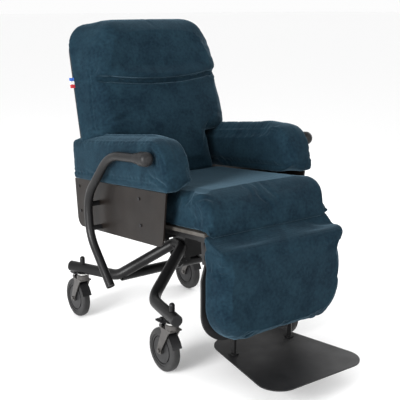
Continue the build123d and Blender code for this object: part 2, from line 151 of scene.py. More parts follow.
def facingOut(obj):
    # turns the faces outwards if the signed volume says that they point in
    mesh = obj.data
    mesh.calc_loop_triangles()
    corners = np.zeros(len(mesh.loop_triangles) * 3, np.int32)
    mesh.loop_triangles.foreach_get("vertices", corners)
    a, b, c = (vertexPlaces(mesh)[corners.reshape(-1, 3)[:, k]] for k in range(3))
    if np.einsum("ij,ij->i", a, np.cross(b, c)).sum() < 0:
        mesh.flip_normals()
    return obj


def vertexPlaces(mesh):
    places = np.zeros(len(mesh.vertices) * 3, np.float32)
    mesh.vertices.foreach_get("co", places)
    return places.reshape(-1, 3).astype(float)


def vertexNormals(mesh):
    normals = np.zeros(len(mesh.vertices) * 3, np.float32)
    mesh.vertex_normals.foreach_get("vector", normals)
    return normals.reshape(-1, 3).astype(float)


def moveVertices(mesh, places):
    mesh.vertices.foreach_set("co", np.ascontiguousarray(places, np.float32).ravel())
    mesh.update()


def slab(name, outline, rim, near, far, crown, along, unit):
    # rings of an outline: drawn to its middle on the near face, round the rim, and back on the far face.
    # The rim is a quarter circle on each side, of a radius given for every point of the outline.
    count = len(outline)
    ahead, behind = np.roll(outline, -1, 0), np.roll(outline, 1, 0)
    tangent = (ahead - behind) / np.linalg.norm(ahead - behind, axis=1)[:, None]
    turn = np.sign(np.cross(outline, ahead).sum())
    inward = np.stack([-tangent[:, 1], tangent[:, 0]], -1) * turn
    middle = outline.mean(0)
    pull = np.concatenate([np.linspace(0.04, 1, 9)[:-1], np.ones(18), np.linspace(1, 0.04, 9)[1:]])
    quarter = np.linspace(0, math.pi / 2, 9)
    inset = np.concatenate([np.ones(8), 1 - np.sin(quarter), 1 - np.sin(quarter[::-1]), np.ones(8)])
    depthIn = np.concatenate([np.zeros(8), 1 - np.cos(quarter), 1 - np.cos(quarter[::-1]), np.zeros(8)])
    nearSide = np.arange(len(pull)) < len(pull) // 2
    rim = np.broadcast_to(np.asarray(rim, float), count)
    ring = outline + inward * (inset[:, None] * rim)[..., None]
    ring = middle + (ring - middle) * pull[:, None, None]
    swell = crown * (1 - pull ** 2)[:, None]
    thickness = np.sign(far - near)
    depth = np.where(nearSide[:, None], near + thickness * (depthIn[:, None] * rim - swell),
                     far - thickness * (depthIn[:, None] * rim - swell))
    if along == "x":
        points = np.stack([depth, ring[..., 0], ring[..., 1]], -1)
    else:
        points = np.stack([ring[..., 0], depth, ring[..., 1]], -1)
    return facingOut(meshObject(name, points, ringFaces(len(pull), count), unit))


def settle(obj):
    # the modifiers' result becomes the mesh
    graph = bpy.context.evaluated_depsgraph_get()
    finished = bpy.data.meshes.new_from_object(obj.evaluated_get(graph))
    obj.modifiers.clear()
    obj.data = finished
    return obj


def remeshed(obj, voxel):
    remesh = obj.modifiers.new("even mesh", "REMESH")
    remesh.mode = "VOXEL"
    remesh.voxel_size = voxel
    return settle(obj)


def refined(obj, levels):
    smooth = obj.modifiers.new("finer mesh", "SUBSURF")
    smooth.levels = levels
    smooth.render_levels = levels
    settle(obj)
    obj.data.polygons.foreach_set("use_smooth", [True] * len(obj.data.polygons))
    return obj


def inflated(obj, pressure, reach, give):
    # cloth blown up from inside for 20 steps; give says how much of its move each point keeps, up to reach
    scene = bpy.context.scene
    rest = vertexPlaces(obj.data)
    cloth = obj.modifiers.new("fill", "CLOTH")
    cloth.settings.quality = 4
    cloth.settings.use_pressure = True
    cloth.settings.uniform_pressure_force = pressure
    cloth.settings.effector_weights.gravity = 0
    cloth.point_cache.frame_start = 1
    cloth.point_cache.frame_end = 20
    for step in range(1, 21):
        scene.frame_set(step)
    graph = bpy.context.evaluated_depsgraph_get()
    moved = vertexPlaces(obj.evaluated_get(graph).to_mesh()) - rest
    obj.modifiers.clear()
    scene.frame_set(1)
    length = np.linalg.norm(moved, axis=1)
    scale = np.minimum(1, reach / np.maximum(length, 1e-6)) * give(rest)
    moveVertices(obj.data, rest + moved * scale[:, None])
    return obj


def nearPath(points, path):
    # for every point: the distance to a path of straight pieces, and how far along it, from 0 to 1
    starts, spans = path[:-1], np.diff(path, axis=0)
    lengths = np.linalg.norm(spans, axis=1)
    before = np.concatenate([[0], np.cumsum(lengths)])
    best = np.full(len(points), 1e9)
    along = np.zeros(len(points))
    for start, span, length, base in zip(starts, spans, lengths, before):
        t = np.clip((points - start) @ span / length ** 2, 0, 1)
        distance = np.linalg.norm(points - start - t[:, None] * span, axis=1)
        closer = distance < best
        best = np.where(closer, distance, best)
        along = np.where(closer, (base + t * length) / before[-1], along)
    return best, along


def creased(obj, unit, marks):
    # each mark pushes in along its path by depth * exp(-(d / width)^2) and lifts a lip on both sides;
    # a mark that isn't a whole seam fades at its ends, and puckers are ripples across a seam
    mesh = obj.data
    local = toUnit(vertexPlaces(mesh), unit)
    push = np.zeros(len(local))
    for mark in marks:
        path = smoothPath(mark["path"], mark.get("points", 30))
        reach = mark["width"] * 4 + mark.get("pucker", (0, 0, 0))[2] * 2.5
        close = np.all((local > path.min(0) - reach) & (local < path.max(0) + reach), axis=1)
        distance, along = nearPath(local[close], path)
        width = mark["width"]
        fade = 1.0 if mark.get("seam") else np.sin(np.clip(along, 0.001, 0.999) * math.pi) ** 0.7
        shape = -mark["depth"] * np.exp(-(distance / width) ** 2)
        shape += mark.get("lip", 0.35) * mark["depth"] * np.exp(-((distance - 2.1 * width) / width) ** 2)
        ripple, turns, spread = mark.get("pucker", (0, 0, 1))
        wander = along * turns * 2 * math.pi + 3 * np.sin(along * 19)
        shape += ripple * np.sin(wander) * np.exp(-(distance / spread) ** 2)
        push[close] += shape * fade
    moveVertices(mesh, vertexPlaces(mesh) + vertexNormals(mesh) * push[:, None])
    return obj


# ---- materials

def velvetMaterial(name, deep, light):
    # short-pile velvet: dark ground, brushed patches where the pile leans, fine ribs and a soft sheen
    material = bpy.data.materials.new(name)
    material.use_nodes = True
    nodes, links = material.node_tree.nodes, material.node_tree.links
    nodes.clear()
    output = nodes.new("ShaderNodeOutputMaterial")
    output.label = "velvet surface"
    velvet = nodes.new("ShaderNodeBsdfPrincipled")
    velvet.label = "velvet"
    place = nodes.new("ShaderNodeTexCoord")
    place.label = "place on the chair"
    pileFrame = nodes.new("NodeFrame")
    pileFrame.label = "colour of the brushed pile"
    weaveFrame = nodes.new("NodeFrame")
    weaveFrame.label = "relief of pile and ribs"
    patches = nodes.new("ShaderNodeTexNoise")
    patches.label = "patches brushed one way"
    mottle = nodes.new("ShaderNodeTexNoise")
    mottle.label = "small mottling of the nap"
    blend = nodes.new("ShaderNodeMix")
    blend.label = "patches with mottling"
    tone = nodes.new("ShaderNodeValToRGB")
    tone.label = "deep to light blue"
    pile = nodes.new("ShaderNodeTexNoise")
    pile.label = "single tufts"
    ribs = nodes.new("ShaderNodeTexWave")
    ribs.label = "woven ribs"
    relief = nodes.new("ShaderNodeMath")
    relief.label = "tufts on ribs"
    ribHeight = nodes.new("ShaderNodeMath")
    ribHeight.label = "low ribs"
    height = nodes.new("ShaderNodeBump")
    height.label = "pile height"
    speck = nodes.new("ShaderNodeMix")
    speck.label = "tips lighter than roots"
    for node in (patches, mottle, blend, tone, speck):
        node.parent = pileFrame
    for node in (pile, ribs, ribHeight, relief, height):
        node.parent = weaveFrame
    for column, node in enumerate((place, patches, mottle, blend, tone, speck, velvet, output)):
        node.location = (column * 220 - 900, 200)
    for column, node in enumerate((pile, ribs, ribHeight, relief, height)):
        node.location = (column * 220 - 680, -250)
    patches.inputs["Scale"].default_value = 13
    patches.inputs["Detail"].default_value = 7
    patches.inputs["Distortion"].default_value = 0.6
    mottle.inputs["Scale"].default_value = 110
    mottle.inputs["Detail"].default_value = 4
    blend.inputs["Factor"].default_value = 0.45
    tone.color_ramp.elements[0].position = 0.36
    tone.color_ramp.elements[0].color = (*deep, 1)
    tone.color_ramp.elements[1].position = 0.66
    tone.color_ramp.elements[1].color = (*light, 1)
    pile.inputs["Scale"].default_value = 900
    pile.inputs["Detail"].default_value = 2
    ribs.wave_type = "BANDS"
    ribs.bands_direction = "Z"
    ribs.inputs["Scale"].default_value = 95
    ribs.inputs["Distortion"].default_value = 1.2
    ribs.inputs["Detail"].default_value = 2
    ribs.inputs["Detail Scale"].default_value = 3
    ribHeight.operation = "MULTIPLY"
    ribHeight.inputs[1].default_value = 0.35
    relief.operation = "ADD"
    height.inputs["Strength"].default_value = 0.35
    height.inputs["Distance"].default_value = 0.0012
    speck.data_type = "RGBA"
    speck.blend_type = "MULTIPLY"
    speck.inputs["Factor"].default_value = 0.4
    velvet.inputs["Roughness"].default_value = 0.85
    velvet.inputs["Specular IOR Level"].default_value = 0.06
    velvet.inputs["Sheen Weight"].default_value = 0.20
    velvet.inputs["Sheen Roughness"].default_value = 0.38
    velvet.inputs["Sheen Tint"].default_value = (0.36, 0.60, 0.78, 1)
    links.new(place.outputs["Object"], patches.inputs["Vector"])
    links.new(place.outputs["Object"], mottle.inputs["Vector"])
    links.new(place.outputs["Object"], pile.inputs["Vector"])
    links.new(place.outputs["Object"], ribs.inputs["Vector"])
    links.new(patches.outputs["Fac"], blend.inputs[2])
    links.new(mottle.outputs["Fac"], blend.inputs[3])
    links.new(blend.outputs[0], tone.inputs["Fac"])
    links.new(tone.outputs["Color"], speck.inputs[6])
    links.new(pile.outputs["Color"], speck.inputs[7])
    links.new(speck.outputs[2], velvet.inputs["Base Color"])
    links.new(ribs.outputs["Fac"], ribHeight.inputs[0])
    links.new(pile.outputs["Fac"], relief.inputs[0])
    links.new(ribHeight.outputs[0], relief.inputs[1])
    links.new(relief.outputs[0], height.inputs["Height"])
    links.new(height.outputs["Normal"], velvet.inputs["Normal"])
    links.new(velvet.outputs["BSDF"], output.inputs["Surface"])
    return material


def coatedMaterial(name, dark, light, roughness, metallic, grain, grainSize, cloud):
    # a coated, moulded or plated skin: cloudy tone, fine grain in relief, and polish that varies
    material = bpy.data.materials.new(name)
    material.use_nodes = True
    nodes, links = material.node_tree.nodes, material.node_tree.links
    nodes.clear()
    output = nodes.new("ShaderNodeOutputMaterial")
    output.label = name
    coat = nodes.new("ShaderNodeBsdfPrincipled")
    coat.label = "coat"
    place = nodes.new("ShaderNodeTexCoord")
    place.label = "place on the chair"
    toneFrame = nodes.new("NodeFrame")
    toneFrame.label = "tone"
    polishFrame = nodes.new("NodeFrame")
    polishFrame.label = "polish"
    grainFrame = nodes.new("NodeFrame")
    grainFrame.label = "grain"
    clouds = nodes.new("ShaderNodeTexNoise")
    clouds.label = "uneven coat"
    tone = nodes.new("ShaderNodeValToRGB")
    tone.label = "tone of the coat"
    handling = nodes.new("ShaderNodeTexNoise")
    handling.label = "rubbed places"
    polish = nodes.new("ShaderNodeMapRange")
    polish.label = "rubbed places shine"
    peel = nodes.new("ShaderNodeTexNoise")
    peel.label = "grain of the skin"
    relief = nodes.new("ShaderNodeBump")
    relief.label = "grain in relief"
    for node in (clouds, tone):
        node.parent = toneFrame
    for node in (handling, polish):
        node.parent = polishFrame
    for node in (peel, relief):
        node.parent = grainFrame
    for column, node in enumerate((place, clouds, tone, coat, output)):
        node.location = (column * 240 - 600, 200)
    for column, node in enumerate((handling, polish)):
        node.location = (column * 240 - 360, -80)
    for column, node in enumerate((peel, relief)):
        node.location = (column * 240 - 360, -380)
    clouds.inputs["Scale"].default_value = cloud
    clouds.inputs["Detail"].default_value = 4
    tone.color_ramp.elements[0].position = 0.35
    tone.color_ramp.elements[0].color = (*dark, 1)
    tone.color_ramp.elements[1].position = 0.68
    tone.color_ramp.elements[1].color = (*light, 1)
    handling.inputs["Scale"].default_value = 14
    handling.inputs["Detail"].default_value = 5
    polish.inputs["From Min"].default_value = 0.3
    polish.inputs["From Max"].default_value = 0.7
    polish.inputs["To Min"].default_value = roughness + 0.07
    polish.inputs["To Max"].default_value = roughness - 0.07
    peel.inputs["Scale"].default_value = grainSize
    peel.inputs["Detail"].default_value = 2
    relief.inputs["Strength"].default_value = grain
    relief.inputs["Distance"].default_value = 0.0004
    coat.inputs["Metallic"].default_value = metallic
    coat.inputs["Specular IOR Level"].default_value = 0.18
    links.new(place.outputs["Object"], clouds.inputs["Vector"])
    links.new(place.outputs["Object"], handling.inputs["Vector"])
    links.new(place.outputs["Object"], peel.inputs["Vector"])
    links.new(clouds.outputs["Fac"], tone.inputs["Fac"])
    links.new(tone.outputs["Color"], coat.inputs["Base Color"])
    links.new(handling.outputs["Fac"], polish.inputs["Value"])
    links.new(polish.outputs["Result"], coat.inputs["Roughness"])
    links.new(peel.outputs["Fac"], relief.inputs["Height"])
    links.new(relief.outputs["Normal"], coat.inputs["Normal"])
    links.new(coat.outputs["BSDF"], output.inputs["Surface"])
    return material


def ribbonMaterial(name, low, high):
    # three woven bands up the ribbon, blue over white over red, and a fine rib across them
    material = bpy.data.materials.new(name)
    material.use_nodes = True
    nodes, links = material.node_tree.nodes, material.node_tree.links
    nodes.clear()
    output = nodes.new("ShaderNodeOutputMaterial")
    output.label = "ribbon surface"
    cloth = nodes.new("ShaderNodeBsdfPrincipled")
    cloth.label = "ribbon cloth"
    place = nodes.new("ShaderNodeTexCoord")
    place.label = "place on the chair"
    parts = nodes.new("ShaderNodeSeparateXYZ")
    parts.label = "height only"
    share = nodes.new("ShaderNodeMapRange")
    share.label = "height up the ribbon"
    bands = nodes.new("ShaderNodeValToRGB")
    bands.label = "red, white and blue bands"
    rib = nodes.new("ShaderNodeTexWave")
    rib.label = "ribbon weave"
    relief = nodes.new("ShaderNodeBump")
    relief.label = "weave in relief"
    bandFrame = nodes.new("NodeFrame")
    bandFrame.label = "bands"
    weaveFrame = nodes.new("NodeFrame")
    weaveFrame.label = "weave"
    for node in (parts, share, bands):
        node.parent = bandFrame
    for node in (rib, relief):
        node.parent = weaveFrame
    for column, node in enumerate((place, parts, share, bands, cloth, output)):
        node.location = (column * 220 - 660, 160)
    for column, node in enumerate((rib, relief)):
        node.location = (column * 220 - 220, -160)
    share.inputs["From Min"].default_value = low
    share.inputs["From Max"].default_value = high
    bands.color_ramp.interpolation = "CONSTANT"
    bands.color_ramp.elements[0].color = (0.36, 0.012, 0.02, 1)
    bands.color_ramp.elements[1].position = 0.36
    bands.color_ramp.elements[1].color = (0.62, 0.62, 0.60, 1)
    top = bands.color_ramp.elements.new(0.68)
    top.color = (0.02, 0.09, 0.36, 1)
    rib.inputs["Scale"].default_value = 700
    relief.inputs["Strength"].default_value = 0.4
    relief.inputs["Distance"].default_value = 0.0003
    cloth.inputs["Roughness"].default_value = 0.6
    links.new(place.outputs["Object"], parts.inputs["Vector"])
    links.new(place.outputs["Object"], rib.inputs["Vector"])
    links.new(parts.outputs["Z"], share.inputs["Value"])
    links.new(share.outputs["Result"], bands.inputs["Fac"])
    links.new(bands.outputs["Color"], cloth.inputs["Base Color"])
    links.new(rib.outputs["Fac"], relief.inputs["Height"])
    links.new(relief.outputs["Normal"], cloth.inputs["Normal"])
    links.new(cloth.outputs["BSDF"], output.inputs["Surface"])
    return material


velvet = velvetMaterial("petrol velvet", (0.0034, 0.0118, 0.0205), (0.0105, 0.0290, 0.0430))
blackSteel = coatedMaterial("black powder coat", (0.0045, 0.0045, 0.0048), (0.0080, 0.0080, 0.0084),
                            0.34, 0.0, 0.35, 1400, 7)
blackPlastic = coatedMaterial("black moulding", (0.008, 0.008, 0.0085), (0.014, 0.014, 0.015),
                              0.42, 0.0, 0.5, 900, 12)
zincSteel = coatedMaterial("zinc plate", (0.42, 0.42, 0.41), (0.62, 0.62, 0.60), 0.28, 1.0, 0.15, 500, 40)
boardPaint = coatedMaterial("painted plywood", (0.035, 0.032, 0.028), (0.060, 0.055, 0.050),
                            0.6, 0.0, 0.6, 260, 22)
darkPanel = coatedMaterial("dark brown laminate", (0.0045, 0.0032, 0.0026), (0.0080, 0.0058, 0.0046),
                           0.40, 0.0, 0.5, 650, 9)
shellMaterial = coatedMaterial("back shell moulding", (0.010, 0.009, 0.0085), (0.019, 0.0165, 0.015),
                               0.55, 0.0, 0.9, 420, 16)
footCoat = coatedMaterial("anthracite coat", (0.0070, 0.0070, 0.0076), (0.0100, 0.0100, 0.0106),
                          0.42, 0.0, 0.3, 1300, 5)
casterZinc = coatedMaterial("grey castor coat", (0.060, 0.057, 0.055), (0.100, 0.095, 0.092),
                            0.32, 0.6, 0.25, 800, 18)
tyreRubber = coatedMaterial("grey tread", (0.016, 0.016, 0.0165), (0.025, 0.025, 0.025),
                            0.52, 0.0, 0.6, 420, 26)
coreMoulding = coatedMaterial("grey wheel centre", (0.014, 0.014, 0.0145), (0.022, 0.022, 0.023),
                              0.42, 0.0, 0.3, 700, 20)
finishes = {"black_steel": blackSteel, "black_plastic": blackPlastic, "zinc_steel": zincSteel,
            "board": boardPaint, "blue_velvet": velvet, "dark_panel": darkPanel,
            "footplate_coat": footCoat, "caster_zinc": casterZinc,
            "grey_tyre": tyreRubber, "grey_core": coreMoulding}
for part in frame["record"]["subparts"]:
    mesh = frame["nodes"][part["node"]].data
    mesh.materials.clear()
    mesh.materials.append(finishes[part["material_slot"]])
for node, material in (("back_shell", shellMaterial), ("legrest_brackets", blackSteel),
                       ("shell_brackets", blackSteel), ("footplate_stems", blackSteel),
                       ("panel_screws", blackPlastic), ("legrest_board", blackPlastic)):
    frame["nodes"][node].data.materials[0] = material
print("materials ready")


# ---- upholstery

def upholstered(obj, body, nodes):
    obj.data.materials.clear()
    obj.data.materials.append(velvet)
    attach(obj, body)
    if nodes:
        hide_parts(*nodes)
    print("upholstered", obj.name, "with", len(obj.data.vertices), "points")
    return obj


seatPad = {"front": -0.438, "rear": 0.096, "low": 0.0775, "top": 0.185, "half": 0.246, "rim": 0.022,
           "voxel": 0.006, "nose": 0.058, "overhang": -0.4425}


def seatCushion(size):
    # the cover hangs past the board in front, so the outline steps down round the board's edge
    corners = [(size["rear"], size["low"]), (size["overhang"], size["low"]), (size["overhang"], size["nose"]),
               (size["front"] - 0.020, size["nose"] + 0.006),
               (size["front"] - 0.014, size["top"] - 0.002), (size["rear"], size["top"])]
    outline = roundedOutline(corners, (0.010, 0.002, 0.003, 0.010, 0.060, 0.014), 170)
    obj = slab("seat_velvet", outline, size["rim"], -size["half"], size["half"], 0.003, "x", seatUnit)
    remeshed(obj, size["voxel"])

    def give(places):
        local = toUnit(places, seatUnit)
        return smoothStep(size["low"] + 0.002, size["low"] + 0.04, local[:, 2]) * 0.8
    inflated(obj, 4.0, 0.022, give)
    refined(obj, 1)
    places = toUnit(vertexPlaces(obj.data), seatUnit)
    x, y, z = places.T
    # the top is dished a little where a sitter sits, and kept under the arm pads at its sides
    onTop = smoothStep(0.14, 0.175, z)
    z = z - 0.006 * onTop * bump(x, 0, 0.16) * bump(y, -0.1, 0.16)
    ceiling = 0.1905 + 0.006 * (1 - smoothStep(0.17, 0.21, np.abs(x)))
    z = np.where(z > ceiling, ceiling + (z - ceiling) * 0.1, z)
    z = np.where(y > -0.4412, np.maximum(z, size["low"] - 0.0003), np.maximum(z, size["nose"] - 0.001))
    x = np.clip(x, -0.262, 0.262)
    y = np.maximum(y, -0.470)
    moveVertices(obj.data, toWorld(np.stack([x, y, z], -1), seatUnit))
    edge = size["half"]
    marks = [
        {"path": [(-0.20, -0.43, 0.172), (-0.235, -0.405, 0.178), (-0.252, -0.36, 0.172)],
         "depth": 0.005, "width": 0.008},
        {"path": [(-0.244, -0.43, 0.16), (-0.25, -0.425, 0.12), (-0.24, -0.424, 0.09)],
         "depth": -0.004, "width": 0.009},
        {"path": [(-0.25, -0.40, 0.15), (-0.255, -0.33, 0.13), (-0.255, -0.22, 0.12)],
         "depth": 0.004, "width": 0.012},
        {"path": [(-0.25, -0.38, 0.10), (-0.255, -0.30, 0.095), (-0.255, -0.2, 0.10)],
         "depth": 0.004, "width": 0.010},
        {"path": [(0.25, -0.40, 0.15), (0.255, -0.33, 0.13), (0.255, -0.22, 0.125)],
         "depth": 0.004, "width": 0.012},
        {"path": [(-0.16, -0.445, 0.10), (-0.05, -0.45, 0.105), (0.05, -0.448, 0.10)],
         "depth": 0.002, "width": 0.012},
        {"path": [(0.02, -0.44, 0.165), (0.10, -0.43, 0.176), (0.2, -0.425, 0.178)],
         "depth": 0.0016, "width": 0.012}]
    for side in (-edge, edge):  # welt where the side panels meet the top
        marks.append({"path": [(side, 0.06, 0.176), (side, -0.2, 0.176), (side, -0.36, 0.172),
                               (side, -0.405, 0.15), (side, -0.42, 0.11)],
                      "depth": 0.0022, "width": 0.0035, "seam": True, "points": 60})
    creased(obj, seatUnit, marks)
    return upholstered(obj, "seat_unit", ["seat_cushion"])


backPad = {"foot": -0.056, "wing": 0.106, "lip": 0.319, "top": 0.529, "rear": 0.0215, "corner": 0.088,
           "drop": 0.024, "voxel": 0.0055}


def backSection(height, size):
    # plan of the back at one height: half widths at the rear, at the seam and in front,
    # and how far it stands out
    top, lip = size["top"], size["lip"]
    wide = smoothStep(size["wing"] - 0.014, size["wing"] + 0.006, height)
    rear = 0.194 + (0.301 - 0.194) * wide - 0.008 * smoothStep(0.15, 0.42, height)
    seam = 0.191 + (0.284 - 0.191) * wide - 0.012 * smoothStep(0.15, 0.33, height)
    seam = seam - 0.030 * smoothStep(0.33, 0.5, height)
    pillow = smoothStep(lip - 0.006, lip + 0.012, height)
    crease = bump(height, lip - 0.002, 0.006)
    front = seam - 0.016 - 0.018 * pillow - 0.01 * crease
    ahead = 0.088 + 0.020 * pillow - 0.028 * crease - 0.006 * smoothStep(0.40, 0.52, height)
    ahead -= 0.016 * (1 - smoothStep(lip - 0.05, lip, height)) * smoothStep(0.20, lip - 0.02, height) * 0.5
    fall = max(0.0, height - (top - size["corner"]))
    shrink = size["corner"] - math.sqrt(max(size["corner"] ** 2 - fall ** 2, 0.0))
    roll = 0.052
    over = max(0.0, height - (top - roll))
    lean = roll - math.sqrt(max(roll ** 2 - over ** 2, 0.0))
    tuck = 0.018 - math.sqrt(max(0.018 ** 2 - max(0.0, size["foot"] + 0.018 - height) ** 2, 0.0))
    ahead = ahead - lean * 1.25 - tuck
    shrink = shrink * 0.92
    return rear - shrink, seam - shrink, front - shrink, ahead, size["rear"] - lean * 0.25


def backUpholstery(size):
    top = size["top"]
    heights = np.concatenate([np.linspace(size["foot"], size["wing"] - 0.02, 12),
                              np.linspace(size["wing"] - 0.018, size["wing"] + 0.01, 8),
                              np.linspace(size["wing"] + 0.02, size["lip"] - 0.03, 12),
                              np.linspace(size["lip"] - 0.026, size["lip"] + 0.026, 22),
                              np.linspace(size["lip"] + 0.034, top - 0.06, 12),
                              top - 0.055 * np.cos(np.linspace(0, math.pi / 2 * 0.97, 14))])
    rings = []
    for height in heights:
        rear, seam, front, ahead, behind = backSection(height, size)
        corners = [(-rear, behind), (-seam, -0.052), (-front, -ahead),
                   (front, -ahead), (seam, -0.052), (rear, behind)]
        low = min(0.034, (ahead - 0.04) * 0.9)
        ring = roundedOutline(corners, (0.004, 0.03, low, low, 0.03, 0.004), 170)
        crown = 0.016 * np.clip(1 - (ring[:, 0] / 0.25) ** 2, 0, 1) * smoothStep(0.04, 0.07, -ring[:, 1])
        crown *= 1 - smoothStep(top - 0.10, top - 0.01, height)
        ring[:, 1] -= crown
        drop = size["drop"] * np.clip(1 - (ring[:, 0] / 0.25) ** 2, 0, 1) * bump(height, size["lip"], 0.09)
        drop *= smoothStep(0.02, 0.05, -ring[:, 1])
        rings.append(np.stack([ring[:, 0], ring[:, 1], height - drop], -1))
    points = np.array(rings)
    obj = facingOut(meshObject("back_velvet", points, ringFaces(len(rings), 170), backUnit))
    remeshed(obj, size["voxel"])

    def give(places):
        local = toUnit(places, backUnit)
        soft = smoothStep(-0.005, 0.05, -local[:, 1]) * smoothStep(0.0, 0.06, local[:, 2] - size["foot"])
        return soft * (1 - 0.5 * bump(local[:, 2], size["lip"] - 0.01, 0.02))
    inflated(obj, 4.0, 0.016, give)
    refined(obj, 1)
    places = toUnit(vertexPlaces(obj.data), backUnit)
    x, y, z = places.T
    # the foot of the back keeps off the hinge lugs and the arm pads
    y = np.clip(y, -0.127, 0.0215)
    low = 1 - smoothStep(size["wing"] - 0.012, size["wing"] - 0.002, z)
    x = np.where(low > 0.5, np.clip(x, -0.209, 0.209), np.clip(x, -0.306, 0.306))
    moveVertices(obj.data, toWorld(np.stack([x, y, z], -1), backUnit))
    # under the head pillow's lip the cover is drawn in, and the lip rolls over the crease
    across = np.linspace(-0.262, 0.262, 15)
    droop = size["drop"] * np.clip(1 - (across / 0.25) ** 2, 0, 1)
    standing = -0.062 - 0.055 * np.clip(1 - (across / 0.29) ** 4, 0, 1)
    marks = []
    for shift, depth, width in ((-0.006, 0.020, 0.0085), (0.018, -0.012, 0.016), (-0.040, -0.003, 0.022)):
        path = np.stack([across, standing, size["lip"] + shift - droop], -1)
        marks.append({"path": path, "depth": depth, "width": width, "points": 90})
    for side in (-1, 1):
        seam = [(side * 0.281, -0.056, 0.14), (side * 0.277, -0.058, 0.22), (side * 0.268, -0.058, 0.315),
                (side * 0.252, -0.060, 0.40), (side * 0.230, -0.058, 0.46), (side * 0.196, -0.052, 0.505)]
        marks.append({"path": seam, "depth": 0.0024, "width": 0.004, "seam": True, "points": 70,
                      "pucker": (0.0007, 38, 0.010)})
        marks += [
            {"path": [(side * 0.272, -0.062, 0.338), (side * 0.245, -0.09, 0.346),
                      (side * 0.20, -0.115, 0.352)],
             "depth": 0.006, "width": 0.007},
            {"path": [(side * 0.290, -0.03, 0.330), (side * 0.270, -0.064, 0.332),
                      (side * 0.243, -0.092, 0.336)],
             "depth": 0.004, "width": 0.005},
            {"path": [(side * 0.268, -0.066, 0.300), (side * 0.235, -0.092, 0.302),
                      (side * 0.20, -0.10, 0.312)],
             "depth": 0.005, "width": 0.006},
            {"path": [(side * 0.264, -0.070, 0.286), (side * 0.235, -0.092, 0.290),
                      (side * 0.215, -0.10, 0.296)],
             "depth": 0.004, "width": 0.006},
            {"path": [(side * 0.255, -0.06, 0.40), (side * 0.235, -0.085, 0.415), (side * 0.22, -0.10, 0.44)],
             "depth": 0.003, "width": 0.009},
            {"path": [(side * 0.245, -0.065, 0.44), (side * 0.225, -0.09, 0.45), (side * 0.21, -0.10, 0.47)],
             "depth": 0.003, "width": 0.008}]
    marks += [
        {"path": [(-0.262, -0.06, 0.140), (-0.235, -0.088, 0.152),
                  (-0.19, -0.104, 0.166), (-0.15, -0.108, 0.164)],
         "depth": 0.010, "width": 0.008},
        {"path": [(-0.285, -0.02, 0.132), (-0.27, -0.06, 0.136), (-0.24, -0.085, 0.140)],
         "depth": 0.006, "width": 0.008},
        {"path": [(0.262, -0.06, 0.140), (0.235, -0.088, 0.150), (0.20, -0.102, 0.160)],
         "depth": 0.006, "width": 0.008},
        {"path": [(0.10, -0.108, 0.03), (0.14, -0.10, 0.06), (0.175, -0.09, 0.085)],
         "depth": 0.005, "width": 0.010},
        {"path": [(-0.12, -0.108, 0.01), (-0.16, -0.098, 0.05), (-0.18, -0.088, 0.09)],
         "depth": 0.005, "width": 0.010},
        {"path": [(-0.08, -0.114, 0.24), (0.05, -0.117, 0.236), (0.16, -0.112, 0.244)],
         "depth": 0.0016, "width": 0.016}]
    creased(obj, backUnit, marks)
    return upholstered(obj, "back", ["back_cushion", "head_pillow"])


armPad = {"inner": 0.206, "outer": 0.3045, "voxel": 0.005, "rear": 0.278, "crown": 0.012}


def armVelvet(name, side, size, marks):
    corners = [(size["rear"], 0.1945), (size["rear"] - 0.006, 0.331), (-0.314, 0.352), (-0.336, 0.1955)]
    outline = roundedOutline(corners, (0.008, 0.018, 0.082, 0.018), 150)
    obj = slab(name, outline, 0.0085, side * size["inner"], side * size["outer"], 0.0, "x", seatUnit)
    remeshed(obj, size["voxel"])

    def give(places):
        local = toUnit(places, seatUnit)
        x, y, z = local.T
        loose = smoothStep(0.20, 0.25, z)
        return loose * np.where(np.abs(x) > 0.26, 0.35, 1.0)
    inflated(obj, 4.0, 0.012, give)
    refined(obj, 1)
    places = toUnit(vertexPlaces(obj.data), seatUnit)
    x, y, z = places.T
    x = side * np.clip(np.abs(x), 0.197, 0.3112)
    # the padding is fullest along the middle of the top and of the front end
    z = z + size["crown"] * np.clip(1 - ((np.abs(x) - 0.255) / 0.05) ** 2, 0, 1) * smoothStep(0.30, 0.34, z)
    y = y - 0.006 * np.clip(1 - ((np.abs(x) - 0.255) / 0.05) ** 2, 0, 1) * smoothStep(-0.28, -0.33, y)
    # the hem is drawn in under the front end, more on the inner side
    tuck = bump(y, -0.335, 0.04) * smoothStep(0.235, 0.195, z) * smoothStep(0.27, 0.215, np.abs(x))
    z = z + 0.016 * tuck
    y = y + 0.010 * tuck
    moveVertices(obj.data, toWorld(np.stack([x, y, z], -1), seatUnit))
    edge = roundedOutline(corners, (0.008, 0.018, 0.082, 0.018), 150)
    around = edge[(edge[:, 1] > 0.215)]
    start = int(np.argmax(np.linalg.norm(np.diff(around, axis=0), axis=1)))
    run = np.roll(around, -(start + 1), axis=0) if start else around
    for face, shift in ((size["inner"], 0.002), (size["outer"], -0.002)):
        centre = run.mean(0)
        inner = run + (centre - run) / np.linalg.norm(centre - run, axis=1)[:, None] * 0.006
        seam = np.column_stack([np.full(len(inner), side * (face + shift)), inner])
        marks = marks + [{"path": seam[::3], "depth": 0.0026, "width": 0.0038, "seam": True, "points": 120,
                          "pucker": (0.0005, 60, 0.008)}]
    outerFace, innerFace = side * (size["outer"] + 0.003), side * (size["inner"] - 0.003)
    for face in (outerFace, innerFace):  # hem stitching
        hem = [(face, 0.236, 0.216), (face, 0.0, 0.216), (face, -0.2, 0.216), (face, -0.325, 0.216)]
        marks = marks + [{"path": hem, "depth": 0.0016, "width": 0.0035, "seam": True, "points": 90,
                          "pucker": (0.0004, 70, 0.010)}]
    creased(obj, seatUnit, marks)
    return obj


